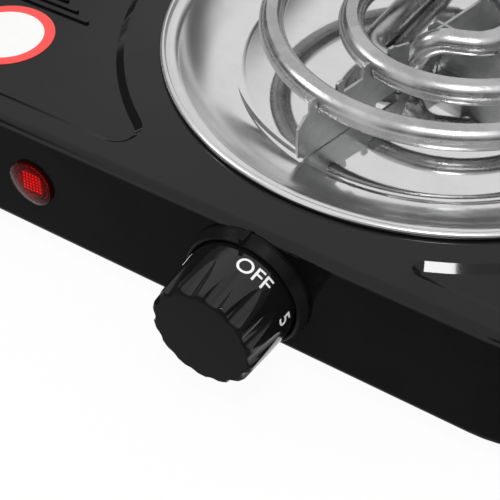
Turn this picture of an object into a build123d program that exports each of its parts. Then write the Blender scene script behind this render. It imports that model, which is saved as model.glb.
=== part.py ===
from build123d import *
from math import acos, atan2, cos, degrees, hypot, pi, radians, sin, sqrt
import os

# Double coil hot plate. Millimetres, +Z up, front towards -Y.
# The origin is on the surface it stands on, under the middle of the whole, dials and gland counted.

# Body
side_height = 45.0
corner_radius = 42.0
sheet = 0.8
top_edge_radius = 3.0
lower_edge_radius = 4.0
flange_width = 12.0
base_sheet = 0.8
base_inset = 4.5
foot_height = 7.2

# Pressed panels and ribs of the top plate
panel_margin = 9.5
panel_depth = 1.7
panel_slope = 2.6
centre_arc_gap = 12.0
centre_tip_radius = 7.6
corner_arc_gap = 9.0
corner_tip_radius = 3.4
rib_count = 3
rib_width = 1.8
rib_height = 0.8
rib_pitch = 3.4
rib_gap = 3.5
rib_length = 40.0
rib_step = 14.0
sticker_diameter = 34.0
sticker_thickness = 0.2
sticker_from_front = 37.5

# Drip pans
burner_gap = 68.0
pan_border = 16.0
pan_sheet = 0.8
pan_rim_bead = 1.1
pan_rim_width = 3.2
pan_wall_width = 21.8
pan_wall_turn = 0.84
groove_from_coil = 1.85
pan_groove_width = 4.0
pan_groove_depth = 0.6
pan_depth = 9.0
pan_seat_overlap = 2.6
pan_slot_margin = 2.0

# Coils: tube, flat spiral, inner lead and terminal legs
wire = 8.5
wire_flat = 0.4
coil_height = 9.0
coil_first_radius = 23.0
coil_growths = (5.1, 6.6, 6.3, 7.0, 6.4, 4.2, 1.9, 0.0)
coil_first_x = 20.6
coil_first_y = 5.0
coil_arc = 90.0
coil_end_angle = 770.0
inner_heading = 20.0
inner_bend = 13.0
inner_straight = 6.5
leg_bend = 9.0
leg_height = 6.5
terminal_drop = 9.0
leg_tail = 6.0

# Support strips under the coil
strip = 1.0
strip_angle = 258.0
strip_past_groove = 1.5
strip_rear_gap = 4.0
strip_tail = 6.0
strip_top_drop = 1.2
strip_toe = 4.0
strip_toe_rise = 1.8
strip_ledge = 3.2
strip_ledge_drop = 3.4
arch_height = 2.2
arch_length = 12.0
arch_outer = 28.0
arch_inner = -2.5
tab_width = 3.2
tab_height = 2.2
tab_round = 1.0
guard_rise = 4.0
guard_drop = 3.0
seat_clearance = 0.35
bend_seat = 1.2
lap_clearance = 0.1
rest_clearance = 0.5

# Tilting terminal block of each coil
block_depth = 8.0
block_height = 11.0
block_end = 10.0
hinge_inside_rim = 2.4
block_round = 2.2
pin_diameter = 4.0
pin_seat = 4.0
pin_head = 6.5
pin_head_length = 1.2
bracket_sheet = 1.2
bracket_width = 11.0
bracket_gap = 0.3
fit = 0.05
rivet_diameter = 3.2
rivet_head = 6.0
rivet_head_height = 0.6

# Controls on the front wall
control_height = 23.0
knob_from_burner = 6.0
bezel_diameter = 42.4
bezel_taper = 1.3
bezel_depth = 4.6
bezel_wall = 0.9
bezel_floor = 1.2
bezel_round = 0.3
index_width = 1.6
index_height = 2.0
knob_taper = 0.9
knob_reach = 26.5
knob_gap = 0.6
knob_wall = 2.6
knob_hollow = 6.0
knob_boss_diameter = 11.0
knob_end_round = 2.0
flute_count = 14
flute_diameter = 8.0
flute_depth = 1.8
flute_tilt = 10.0
shaft_diameter = 6.0
shaft_flat = 2.2
shaft_hold = 10.0
shaft_cover = 6.0
bush_diameter = 9.6
nut_flats = 13.0
nut_thickness = 2.0
bush_spare = 0.5
thermostat_width = 32.0
thermostat_height = 20.0
thermostat_depth = 18.0
thermostat_round = 2.5
blade_width = 6.3
blade_thickness = 0.8
blade_length = 8.0
blade_pitch = 16.0

# Pilot lamps
lamp_from_middle = 39.5
lens_diameter = 16.6
lens_rise = 3.2
lens_rim = 1.2
lens_neck_diameter = 12.4
lens_wall = 1.0
lens_length = 14.0
holder_wall = 1.6
holder_length = 16.0
hole_clearance = 0.3
neon_diameter = 5.0
neon_length = 9.0
neon_round = 1.2

# Underside
foot_diameter = 22.0
foot_top_diameter = 18.0
foot_inset_x = 44.0
foot_inset_y = 34.0
foot_recess_diameter = 10.0
foot_recess_depth = 3.6
screw_diameter = 3.5
screw_head_diameter = 7.0
screw_head_height = 1.8
screw_head_round = 0.6
screw_slot_length = 4.2
screw_slot_width = 0.9
screw_slot_depth = 0.5
screw_reach = 4.0
base_screw_inset = 60.0
base_screw_edge = 4.0
vent_count = 9
vent_pitch = 9.0
vent_length = 46.0
vent_width = 4.0

# Mains connection
gland_bore = 8.5
gland_neck_diameter = 13.0
gland_flange_diameter = 19.0
gland_flange = 3.0
gland_round = 1.0
gland_neck_length = 9.0
gland_nut_thickness = 4.0
strip_block_length = 42.0
strip_block_depth = 18.0
strip_block_height = 22.0
strip_block_from_back = 42.0
strip_block_round = 2.2
strip_screw_pitch = 21.0
lead_diameter = 2.6
lead_bend = 24.0
lead_spread = 8.0


def polar(length, angle):
    return Vector(length * cos(radians(angle)), length * sin(radians(angle)))


def coil_turns():
    """Quarter-turn arcs of the flat spiral, from the inside out: centre, radius, start and span."""
    radius = coil_first_radius
    centre = Vector(coil_first_x - radius, coil_first_y)
    angle = 0.0
    turns = []
    for growth in coil_growths + (0.0,):
        span = min(coil_arc, coil_end_angle - angle)
        turns.append((centre, radius, angle, span))
        angle += span
        centre = centre - polar(growth, angle)
        radius += growth
    return turns


# Sizes that follow: the pan fits round the coil, and the body round the pans
turns = coil_turns()
last_centre, last_radius, last_start, last_span = turns[-1]
wire_r = wire / 2
groove_mid = last_centre.X + last_radius + wire_r + groove_from_coil
groove_in = groove_mid - pan_groove_width / 2
groove_out = groove_mid + pan_groove_width / 2
rim_inner = groove_out + pan_wall_width
pan_r = rim_inner + pan_rim_width
pan_diameter = 2 * pan_r
burner_pitch = pan_diameter + burner_gap
body_depth = pan_diameter + 2 * pan_border
body_length = burner_pitch + pan_diameter + 2 * pan_border
depth_shift = (knob_reach - gland_flange) / 2

# Levels
base_bottom = foot_height
base_top = foot_height + base_sheet
top_z = base_top + side_height
front_y = -body_depth / 2
control_z = base_top + control_height
pan_floor_z = top_z - pan_depth
coil_z = top_z + coil_height
leg_z = pan_floor_z + leg_height
terminal_z = top_z - terminal_drop
knob_x = burner_pitch / 2 - knob_from_burner
sides = {"right": 1, "left": -1}

os.makedirs("parts", exist_ok=True)


def write(shape, node):
    """Place a finished piece in the shared frame, label it and write it."""
    placed = shape.moved(Location((0, depth_shift, 0)))
    placed.label = node
    export_step(placed, f"parts/{node}.step")


def short_arc(start, end, centre):
    """Arc of less than half a turn round a centre."""
    radius = (start - centre).length
    middle = centre + ((start - centre) + (end - centre)).normalized() * radius
    return ThreePointArc(start, middle, end)


# Outlines of the pressed panels, drawn in by a given distance
def centre_panel_outline(inset):
    """Panel between the burners: straight front and back, and sides that follow the two pans."""
    arc = pan_r + centre_arc_gap + inset
    tip = centre_tip_radius - inset
    half = body_depth / 2 - panel_margin - inset
    burner = Vector(burner_pitch / 2, 0)
    tip_y = half - tip
    tip_x = burner.X - sqrt((arc + tip) ** 2 - tip_y**2)
    tip_centre = Vector(tip_x, -tip_y)
    on_arc = burner + (tip_centre - burner) * (arc / (arc + tip))
    with BuildLine() as outline:
        Line((0, -half), (tip_x, -half))
        short_arc(Vector(tip_x, -half), on_arc, tip_centre)
        ThreePointArc(on_arc, burner - Vector(arc, 0), Vector(on_arc.X, -on_arc.Y))
        short_arc(Vector(on_arc.X, -on_arc.Y), Vector(tip_x, half), Vector(tip_x, tip_y))
        Line((tip_x, half), (0, half))
        mirror(about=Plane.YZ)
    return outline.line


def corner_panel_outline(inset):
    """Panel in the front right corner: round the body's corner, and along the pan."""
    arc = pan_r + corner_arc_gap + inset
    tip = corner_tip_radius - inset
    round_corner = corner_radius - panel_margin - inset
    burner = Vector(burner_pitch / 2, 0)
    right = body_length / 2 - panel_margin - inset - burner.X
    front = body_depth / 2 - panel_margin - inset
    front_tip = burner + Vector(sqrt((arc + tip) ** 2 - (front - tip) ** 2), tip - front)
    right_tip = burner + Vector(right - tip, -sqrt((arc + tip) ** 2 - (right - tip) ** 2))
    corner = burner + Vector(right - round_corner, round_corner - front)
    share = arc / (arc + tip)
    front_arc = burner + (front_tip - burner) * share
    right_arc = burner + (right_tip - burner) * share
    with BuildLine() as outline:
        Line(front_tip - Vector(0, tip), corner - Vector(0, round_corner))
        short_arc(corner - Vector(0, round_corner), corner + Vector(round_corner, 0), corner)
        Line(corner + Vector(round_corner, 0), right_tip + Vector(tip, 0))
        short_arc(right_tip + Vector(tip, 0), right_arc, right_tip)
        short_arc(right_arc, front_arc, burner)
        short_arc(front_arc, front_tip - Vector(0, tip), front_tip)
    return outline.line


def pressing(outline, grow, level):
    """Sloped pocket of one panel, from a level down."""
    with BuildPart() as pocket:
        with BuildSketch(Plane.XY.offset(level)):
            add(outline(-grow))
            make_face()
        with BuildSketch(Plane.XY.offset(level - panel_depth)):
            add(outline(panel_slope - grow))
            make_face()
        loft(ruled=True)
    return pocket.part


def pressings(grow, level):
    """All pockets of the top plate."""
    corner = pressing(corner_panel_outline, grow, level)
    back = mirror(corner, about=Plane.XZ)
    pair = [corner, back]
    return [pressing(centre_panel_outline, grow, level)] + pair + [mirror(p, about=Plane.YZ) for p in pair]


# Top housing: one pressed and folded sheet, open underneath inside a flange
slope_angle = degrees(acos(panel_slope / hypot(panel_slope, panel_depth)))
fold_shift = sheet * sin(radians(slope_angle / 2)) / cos(radians(slope_angle / 2))

with BuildPart() as cavity:
    with BuildSketch(Plane.XY.offset(base_top + sheet)):
        RectangleRounded(body_length - 2 * sheet, body_depth - 2 * sheet, corner_radius - sheet)
    extrude(amount=side_height - 2 * sheet)
    fillet(cavity.faces().sort_by(Axis.Z)[-1].edges(), top_edge_radius - sheet)
    fillet(cavity.faces().sort_by(Axis.Z)[0].edges(), lower_edge_radius - sheet)
    for pocket in pressings(fold_shift, top_z - sheet):
        add(pocket, mode=Mode.SUBTRACT)

front_plane = Plane(origin=(0, front_y, control_z), x_dir=(1, 0, 0), z_dir=(0, -1, 0))
back_plane = Plane(origin=(0, -front_y, control_z), x_dir=(-1, 0, 0), z_dir=(0, 1, 0))
burner_points = [(burner_pitch / 2, 0), (-burner_pitch / 2, 0)]
knob_points = [(knob_x, 0), (-knob_x, 0)]
lamp_points = [(lamp_from_middle, 0), (-lamp_from_middle, 0)]
base_screw_points = [
    (x, y)
    for x in (base_screw_inset - body_length / 2, 0, body_length / 2 - base_screw_inset)
    for y in (front_y + base_inset + base_screw_edge, -front_y - base_inset - base_screw_edge)
]

sticker_y = body_depth / 2 - sticker_from_front
rib_first = sticker_y - sticker_diameter / 2 - rib_gap

with BuildPart() as top_housing:
    with BuildSketch(Plane.XY.offset(base_top)):
        RectangleRounded(body_length, body_depth, corner_radius)
    extrude(amount=side_height)
    fillet(top_housing.faces().sort_by(Axis.Z)[-1].edges(), top_edge_radius)
    fillet(top_housing.faces().sort_by(Axis.Z)[0].edges(), lower_edge_radius)
    for pocket in pressings(0, top_z):
        add(pocket, mode=Mode.SUBTRACT)
    add(cavity.part, mode=Mode.SUBTRACT)
    # raised ribs in the middle of the centre panel, shorter towards the back
    panel_z = top_z - panel_depth
    for facing in (-1, 1):
        for index in range(rib_count):
            rib_y = facing * (rib_first - index * rib_pitch)
            with BuildSketch(Plane((0, rib_y, panel_z))):
                SlotOverall(rib_length - index * rib_step, rib_width)
            extrude(amount=rib_height)
    with BuildSketch(Plane.XY.offset(top_z)):
        with Locations(*burner_points):
            Circle(pan_r - pan_seat_overlap)
    extrude(amount=-top_edge_radius, mode=Mode.SUBTRACT)
    with BuildSketch(Plane.XY.offset(base_top)):
        opening = 2 * (sheet + flange_width)
        RectangleRounded(body_length - opening, body_depth - opening, corner_radius - opening / 2)
    extrude(amount=sheet, mode=Mode.SUBTRACT)
    with BuildSketch(Plane.XY.offset(base_top)):
        with Locations(*base_screw_points):
            Circle(screw_diameter / 2 + fit)
    extrude(amount=sheet, mode=Mode.SUBTRACT)
    with BuildSketch(front_plane):
        with Locations(*knob_points):
            Circle(bush_diameter / 2 + hole_clearance)
        with Locations(*lamp_points):
            Circle(lens_neck_diameter / 2 + hole_clearance)
    extrude(amount=-sheet, mode=Mode.SUBTRACT)
    with BuildSketch(back_plane):
        Circle(gland_neck_diameter / 2 + hole_clearance)
    extrude(amount=-sheet, mode=Mode.SUBTRACT)
write(top_housing.part, "top_housing")

with BuildPart() as sticker:
    with BuildSketch(Plane((0, -sticker_y, panel_z))):
        Circle(sticker_diameter / 2)
    extrude(amount=sticker_thickness)
write(sticker.part, "blank_sticker")

# Base plate, its screws and the feet
foot_points = [
    (x, y)
    for x in (foot_inset_x - body_length / 2, body_length / 2 - foot_inset_x)
    for y in (foot_inset_y - body_depth / 2, body_depth / 2 - foot_inset_y)
]

with BuildPart() as rubber_feet:
    with Locations(*[(x, y, foot_height / 2) for x, y in foot_points]):
        Cone(foot_top_diameter / 2, foot_diameter / 2, foot_height)
    with Locations(*[(x, y, foot_recess_depth / 2) for x, y in foot_points]):
        Cylinder(foot_recess_diameter / 2, foot_recess_depth, mode=Mode.SUBTRACT)
    with Locations(*[(x, y, foot_height / 2) for x, y in foot_points]):
        Cylinder(screw_diameter / 2 + fit, foot_height, mode=Mode.SUBTRACT)
write(rubber_feet.part, "rubber_feet")


def pan_head_screws(points, seat_z, reach):
    """Screws put in from below, with their heads under a seat."""
    with BuildPart() as screws:
        with BuildSketch(Plane.XY.offset(seat_z)):
            with Locations(*points):
                Circle(screw_head_diameter / 2)
        extrude(amount=-screw_head_height)
        fillet(screws.faces().group_by(Axis.Z)[0].edges(), screw_head_round)
        with BuildSketch(Plane.XY.offset(seat_z)):
            with Locations(*points):
                Circle(screw_diameter / 2)
        extrude(amount=reach)
        with Locations(*[(x, y, seat_z - screw_head_height) for x, y in points]):
            Box(screw_slot_length, screw_slot_width, 2 * screw_slot_depth, mode=Mode.SUBTRACT)
            Box(screw_slot_width, screw_slot_length, 2 * screw_slot_depth, mode=Mode.SUBTRACT)
    return screws.part


foot_screw_reach = foot_height - foot_recess_depth + base_sheet + screw_reach
write(pan_head_screws(foot_points, foot_recess_depth, foot_screw_reach), "foot_screws")
write(pan_head_screws(base_screw_points, base_bottom, base_sheet + sheet + screw_reach), "base_screws")


# Coil path, drawn round its own burner's middle
def bend(start, heading, radius, turn):
    """End point and end heading of a flat bend, to the left for a positive turn."""
    side = 1 if turn > 0 else -1
    centre = start + polar(radius, heading + 90 * side)
    return centre + polar(radius, heading + turn - 90 * side), centre


def slope_bend(start, heading, rise):
    """Five points of a double bend that climbs or falls by a rise along a heading."""
    angle = acos(1 - abs(rise) / (2 * leg_bend))
    lift = 1 if rise > 0 else -1

    def at(part):
        along = leg_bend * sin(part)
        up = leg_bend * (1 - cos(part)) * lift
        return start + polar(along, heading) + Vector(0, 0, up)

    middle = at(angle)
    end = start + polar(2 * leg_bend * sin(angle), heading) + Vector(0, 0, rise)
    back = end - (at(angle / 2) - start)
    return [start, at(angle / 2), middle, back, end]


first_point = Vector(coil_first_x, coil_first_y, coil_z)
lead_bend_centre = first_point - Vector(inner_bend, 0)
lead_bend_start = lead_bend_centre + polar(inner_bend, inner_heading - 90)
lead_start = lead_bend_start - polar(inner_straight, inner_heading)
inner_drop = slope_bend(lead_start, inner_heading + 180, leg_z - coil_z)
inner_low = inner_drop[-1]
leg_turn_centre = inner_low + polar(leg_bend, inner_heading + 90)
inner_leg = leg_turn_centre - Vector(leg_bend, 0)
inner_fall = slope_bend(Vector(inner_leg.X, groove_in, leg_z), 90, terminal_z - leg_z)
outer_heading = (last_start + last_span + 90) % 360
spiral_end = last_centre + polar(last_radius, last_start + last_span) + Vector(0, 0, coil_z)
outer_exit, outer_centre = bend(spiral_end, outer_heading, leg_bend, 90 - outer_heading)
outer_fall = slope_bend(Vector(outer_exit.X, groove_in - wire, coil_z), 90, terminal_z - coil_z)
inner_x = inner_leg.X
outer_x = outer_exit.X
bracket_y = pan_r - hinge_inside_rim
leg_reach = bracket_y + block_depth / 2 + leg_tail

with BuildPart() as coil:
    with BuildLine() as coil_path:
        Line((inner_x, leg_reach, terminal_z), inner_fall[4])
        ThreePointArc(inner_fall[4], inner_fall[3], inner_fall[2])
        ThreePointArc(inner_fall[2], inner_fall[1], inner_fall[0])
        Line(inner_fall[0], inner_leg)
        short_arc(inner_leg, inner_low, leg_turn_centre)
        ThreePointArc(inner_drop[4], inner_drop[3], inner_drop[2])
        ThreePointArc(inner_drop[2], inner_drop[1], inner_drop[0])
        Line(lead_start, lead_bend_start)
        short_arc(lead_bend_start, first_point, lead_bend_centre)
        for centre, radius, start, span in turns:
            CenterArc(centre + Vector(0, 0, coil_z), radius, start, span)
        short_arc(spiral_end, outer_exit, outer_centre)
        Line(outer_exit, outer_fall[0])
        ThreePointArc(outer_fall[0], outer_fall[1], outer_fall[2])
        ThreePointArc(outer_fall[2], outer_fall[3], outer_fall[4])
        Line(outer_fall[4], (outer_x, leg_reach, terminal_z))
    with BuildSketch(Plane(coil_path.line @ 0, z_dir=coil_path.line % 0)):
        Circle(wire_r)
    sweep()
    tube_volume = coil.part.volume
    split(bisect_by=Plane.XY.offset(coil_z + wire_r - wire_flat), keep=Keep.BOTTOM)

# Least gap of the coil to itself, over points that lie more than two tube widths apart along it
coil_wire = coil_path.wire()
path_length = coil_wire.length
steps = int(path_length / 2)
samples = [coil_wire @ (step / steps) for step in range(steps + 1)]
apart = int(2 * wire * steps / path_length) + 1
least_gap = min(
    (a - b).length for i, a in enumerate(samples) for b in samples[i + apart:]
) - wire
tube_ratio = tube_volume / (pi * wire_r**2 * path_length)
print(f"coil: {path_length:.0f} mm of tube, volume ratio {tube_ratio:.4f}, least gap {least_gap:.2f} mm")


# Support strips: a long one under the front of the coil, and one across it, half-lapped at the middle
def ring_radii(angle):
    """Distances from the middle at which the spiral crosses a ray."""
    ray = polar(1, angle)
    radii = []
    for centre, radius, start, span in turns:
        along = ray.dot(centre)
        reach = along + sqrt(radius**2 - centre.length**2 + along**2)
        hit = ray * reach - centre
        turned_by = (degrees(atan2(hit.Y, hit.X)) - start) % 360
        if turned_by < span:
            radii.append(reach)
    return radii


strip_reach = groove_out + strip_past_groove
strip_short_reach = groove_in - strip_rear_gap
strip_bottom = pan_floor_z + rest_clearance
strip_top = coil_z - strip_top_drop
tab_top = coil_z + tab_height
seat = wire_r + seat_clearance


def strip_plane(angle):
    return Plane((0, 0, 0), x_dir=polar(1, angle), z_dir=polar(1, angle - 90))


def strip_arm(reach, facing):
    """One arm of a strip on edge, from the middle out, with a lifted toe and a stepped end."""
    Polygon(
        (0, strip_bottom),
        (facing * (reach - strip_toe), strip_bottom),
        (facing * reach, strip_bottom + strip_toe_rise),
        (facing * reach, strip_top - strip_ledge_drop),
        (facing * (reach - strip_ledge), strip_top),
        (0, strip_top),
        align=None,
    )


def strip_tabs(rings):
    """A pair of tabs beside each turn, and the seat between them."""
    for ring in rings:
        for horn in (-1, 1):
            with Locations((ring + horn * (seat + tab_width / 2), (strip_top + tab_top) / 2)):
                RectangleRounded(tab_width, tab_top - strip_top + tab_width, tab_round)
    for ring in rings:
        with Locations((ring, coil_z)):
            Circle(seat, mode=Mode.SUBTRACT)
        with Locations((ring, tab_top)):
            Rectangle(2 * seat, 2 * tab_height, mode=Mode.SUBTRACT)


half_lap = (strip_bottom + strip_top) / 2
strip_slot = strip + 2 * lap_clearance
cross_angle = strip_angle + 90
front_rings = ring_radii(strip_angle)
rear_rings = [-r for r in ring_radii(strip_angle - 180)]
right_rings = ring_radii(cross_angle)

# where the inner lead passes each strip
strip_way = polar(1, strip_angle)
drop_way = polar(1, inner_heading + 180)
lead_flat = Vector(lead_start.X, lead_start.Y)
crossing = lead_flat.cross(drop_way).Z / strip_way.cross(drop_way).Z
cross_way = polar(1, cross_angle)
bend_flat = Vector(lead_bend_centre.X, lead_bend_centre.Y)
bend_along = cross_way.dot(bend_flat)
lead_crossing = bend_along + sqrt(inner_bend**2 - bend_flat.length**2 + bend_along**2)
notch = 2 * (seat + bend_seat)

with BuildPart() as lead_clearance:
    with BuildLine() as lead_path:
        ThreePointArc(inner_drop[4], inner_drop[3], inner_drop[2])
        ThreePointArc(inner_drop[2], inner_drop[1], inner_drop[0])
        Line(lead_start, lead_bend_start)
        short_arc(lead_bend_start, first_point, lead_bend_centre)
    with BuildSketch(Plane(lead_path.line @ 0, z_dir=lead_path.line % 0)):
        Circle(seat)
    sweep()

with BuildPart() as long_support:
    with BuildSketch(strip_plane(strip_angle)):
        strip_arm(strip_reach, 1)
        strip_arm(strip_short_reach, -1)
        # guard plate between the inner lead and the inner turn
        guard_in = crossing + notch / 2
        guard_out = min(front_rings) - seat
        guard_top = coil_z + guard_rise
        Polygon(
            (guard_in, strip_top),
            (guard_out, strip_top),
            (guard_out, guard_top),
            (guard_in, guard_top - guard_drop),
            align=None,
        )
        strip_tabs(front_rings + rear_rings)
        with Locations((crossing, strip_top)):
            Rectangle(notch, 2 * (strip_top - half_lap), mode=Mode.SUBTRACT)
        with Locations((arch_outer, strip_bottom), (arch_inner, strip_bottom)):
            Rectangle(arch_length, 2 * arch_height, mode=Mode.SUBTRACT)
        with Locations((0, half_lap + strip_top)):
            Rectangle(strip_slot, 2 * strip_top, mode=Mode.SUBTRACT)
    extrude(amount=strip / 2, both=True)
    add(lead_clearance.part, mode=Mode.SUBTRACT)

with BuildPart() as cross_support:
    with BuildSketch(strip_plane(cross_angle)):
        strip_arm(strip_reach, 1)
        strip_arm(strip_tail, -1)
        strip_tabs(right_rings)
        with Locations((lead_crossing, tab_top)):
            Rectangle(notch, 2 * tab_height, mode=Mode.SUBTRACT)
        with Locations((0, half_lap - strip_top)):
            Rectangle(strip_slot, 2 * strip_top, mode=Mode.SUBTRACT)
    extrude(amount=strip / 2, both=True)
    add(lead_clearance.part, mode=Mode.SUBTRACT)

# Drip pan: one turned sheet with a rolled rim, and gates at the back for the coil's legs
rim_z = top_z + pan_sheet
wall_base = Vector(groove_out, pan_floor_z)
wall_way = Vector(rim_inner, rim_z) - wall_base
wall_slope = 2 * degrees(atan2(wall_way.Y, wall_way.X))
bead = Vector(pan_r - pan_rim_bead, top_z + pan_rim_bead)


def pan_line(drop):
    """Upper face of the pan from the middle to the rim, or its under face a sheet thickness away."""
    down = Vector(0, drop)
    wall_turn = wall_base + wall_way * pan_wall_turn + polar(drop, wall_slope - 90)
    points = [
        Vector(0, pan_floor_z) - down,
        Vector(groove_in, pan_floor_z) - down,
        Vector(groove_mid, pan_floor_z - pan_groove_depth) - down,
        wall_base - down,
        wall_turn,
        Vector(rim_inner, rim_z) - down,
        Vector(bead.X, rim_z) - down,
    ]
    Line(points[0], points[1])
    ThreePointArc(points[1], points[2], points[3])
    TangentArc(points[3], points[4], tangent=(1, 0))
    TangentArc(points[5], points[4], tangent=(-1, 0))
    Line(points[5], points[6])
    return points[0], points[6]


gate_width = wire + 2 * pan_slot_margin
gate_end = rim_inner - pan_slot_margin / 2

with BuildPart() as drip_pan:
    with BuildSketch(Plane.XZ):
        with BuildLine():
            upper = pan_line(0)
            lower = pan_line(pan_sheet)
            Line(upper[0], lower[0])
            Line(upper[1], lower[1])
        make_face()
        with Locations((bead.X, bead.Y)):
            Circle(pan_rim_bead)
    revolve(axis=Axis.Z)
    with BuildSketch(Plane.XY.offset(rim_z)):
        Circle(gate_end)
        with BuildSketch(mode=Mode.INTERSECT):
            with Locations((inner_x, inner_fall[0].Y - wire), (outer_x, outer_fall[0].Y - wire)):
                SlotOverall(pan_diameter, gate_width, rotation=90, align=(Align.MIN, Align.CENTER))
    extrude(amount=-2 * pan_depth, mode=Mode.SUBTRACT)

# Terminal block and trunnion pins that tilt with the coil, and the bracket that carries them
block_left = inner_x - block_end
block_right = outer_x + block_end
block_mid = (block_left + block_right) / 2
pin_reach = bracket_gap + bracket_sheet + pin_seat

with BuildPart() as terminal_block:
    with BuildSketch(Plane.XZ.offset(-bracket_y)):
        with Locations((block_mid, terminal_z)):
            RectangleRounded(block_right - block_left, block_height, block_round)
    extrude(amount=block_depth / 2, both=True)
    with BuildSketch(Plane.XZ.offset(-bracket_y)):
        with Locations((inner_x, terminal_z), (outer_x, terminal_z)):
            Circle(wire_r + fit)
    extrude(amount=block_depth / 2, both=True, mode=Mode.SUBTRACT)
    for end_x, inward in ((block_left, 1), (block_right, -1)):
        with BuildSketch(Plane((end_x, bracket_y, terminal_z), z_dir=(inward, 0, 0))):
            Circle(pin_diameter / 2 + fit)
        extrude(amount=pin_seat, mode=Mode.SUBTRACT)

with BuildPart() as hinge_pins:
    for end_x, outward in ((block_left, -1), (block_right, 1)):
        seat_x = end_x - outward * pin_seat
        with BuildSketch(Plane((seat_x, bracket_y, terminal_z), z_dir=(outward, 0, 0))):
            Circle(pin_diameter / 2)
        extrude(amount=pin_reach + bracket_gap)
        head_x = seat_x + outward * (pin_reach + bracket_gap)
        with BuildSketch(Plane((head_x, bracket_y, terminal_z), z_dir=(outward, 0, 0))):
            Circle(pin_head / 2)
        extrude(amount=pin_head_length)

ear_left = block_left - bracket_gap - bracket_sheet
ear_right = block_right + bracket_gap + bracket_sheet
bracket_top = terminal_z + bracket_width / 2 - bracket_sheet
rivet_points = [(ear_left + bracket_width, bracket_y), (ear_right - bracket_width, bracket_y)]

with BuildPart() as hinge_bracket:
    with BuildSketch(Plane.XZ.offset(-bracket_y)):
        with BuildLine():
            Polyline(
                (ear_left, bracket_top),
                (ear_left, base_top),
                (ear_right, base_top),
                (ear_right, bracket_top),
                (ear_right - bracket_sheet, bracket_top),
                (ear_right - bracket_sheet, base_top + bracket_sheet),
                (ear_left + bracket_sheet, base_top + bracket_sheet),
                (ear_left + bracket_sheet, bracket_top),
                close=True,
            )
        make_face()
    extrude(amount=bracket_width / 2, both=True)
    with BuildSketch(Plane((block_mid, bracket_y, terminal_z), z_dir=(1, 0, 0))):
        Circle(pin_diameter / 2 + fit)
    extrude(amount=ear_right - block_mid, both=True, mode=Mode.SUBTRACT)
    with BuildSketch(Plane.XY.offset(base_top)):
        with Locations(*rivet_points):
            Circle(rivet_diameter / 2 + fit)
    extrude(amount=bracket_sheet, mode=Mode.SUBTRACT)

with BuildPart() as bracket_rivets:
    with BuildSketch(Plane.XY.offset(base_bottom)):
        with Locations(*rivet_points):
            Circle(rivet_diameter / 2)
    extrude(amount=base_sheet + bracket_sheet)
    for level, rise in ((base_bottom, -rivet_head_height), (base_top + bracket_sheet, rivet_head_height)):
        with BuildSketch(Plane.XY.offset(level)):
            with Locations(*rivet_points):
                Circle(rivet_head / 2)
        extrude(amount=rise)

# Controls, drawn round the knob's axis with the front wall's outer face at y = 0
shaft_r = shaft_diameter / 2
bush_front = bezel_floor + nut_thickness + bush_spare
knob_back = bezel_floor + knob_gap
shaft_back = sheet + shaft_hold
shaft_front = knob_reach - shaft_cover


def turned(points):
    """Solid of revolution about the knob's axis, from radius and distance in front of the wall."""
    with BuildPart() as solid:
        with BuildSketch(Plane.XY):
            with BuildLine():
                Polyline(*[(radius, -out) for radius, out in points], close=True)
            make_face()
        revolve(axis=Axis.Y)
    return solid.part


bezel_front_r = bezel_diameter / 2 - bezel_taper
bezel_inner = bezel_front_r - bezel_wall
with BuildPart() as knob_bezel:
    add(
        turned(
            [
                (bush_diameter / 2 + hole_clearance, 0),
                (bezel_diameter / 2, 0),
                (bezel_diameter / 2, bezel_floor),
                (bezel_front_r, bezel_depth),
                (bezel_inner, bezel_depth),
                (bezel_inner, bezel_floor),
                (bush_diameter / 2 + hole_clearance, bezel_floor),
            ]
        )
    )
    fillet(knob_bezel.edges().group_by(Axis.Y)[0], bezel_round)
    # index rib at the top of the bezel
    rib_top = bezel_front_r + index_height
    with BuildSketch(Plane.XZ):
        with Locations((0, (bezel_inner + rib_top) / 2)):
            Rectangle(index_width, rib_top - bezel_inner)
    extrude(amount=bezel_depth)

skirt_r = bezel_inner - knob_gap
end_r = skirt_r - knob_taper
boss_r = knob_boss_diameter / 2
hollow_end = knob_back + knob_hollow
boss_back = bush_front + knob_gap
with BuildPart() as knob:
    add(
        turned(
            [
                (0, boss_back),
                (boss_r, boss_back),
                (boss_r, hollow_end),
                (skirt_r - knob_wall, hollow_end),
                (skirt_r - knob_wall, knob_back),
                (skirt_r, knob_back),
                (skirt_r, hollow_end),
                (end_r, knob_reach),
                (0, knob_reach),
            ]
        )
    )
    fillet(knob.edges().group_by(Axis.Y)[0], knob_end_round)
    with Locations(Plane.XZ.offset(knob_reach)):
        with PolarLocations(end_r + flute_diameter / 2 - flute_depth, flute_count):
            Cylinder(flute_diameter / 2, 2 * knob_reach, rotation=(0, -flute_tilt, 0), mode=Mode.SUBTRACT)
    with BuildSketch(Plane.XZ):
        Circle(shaft_r + fit)
        with Locations((0, shaft_flat + fit + shaft_r)):
            Rectangle(shaft_diameter, shaft_diameter, mode=Mode.SUBTRACT)
    extrude(amount=shaft_front + fit, mode=Mode.SUBTRACT)

with BuildPart() as thermostat_shaft:
    with BuildSketch(Plane.XZ.offset(-shaft_back)):
        Circle(shaft_r)
    extrude(amount=shaft_back + shaft_front)
    with BuildSketch(Plane.XZ.offset(bush_front)):
        with Locations((0, shaft_flat + shaft_r)):
            Rectangle(shaft_diameter, shaft_diameter)
    extrude(amount=shaft_front - bush_front, mode=Mode.SUBTRACT)

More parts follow.
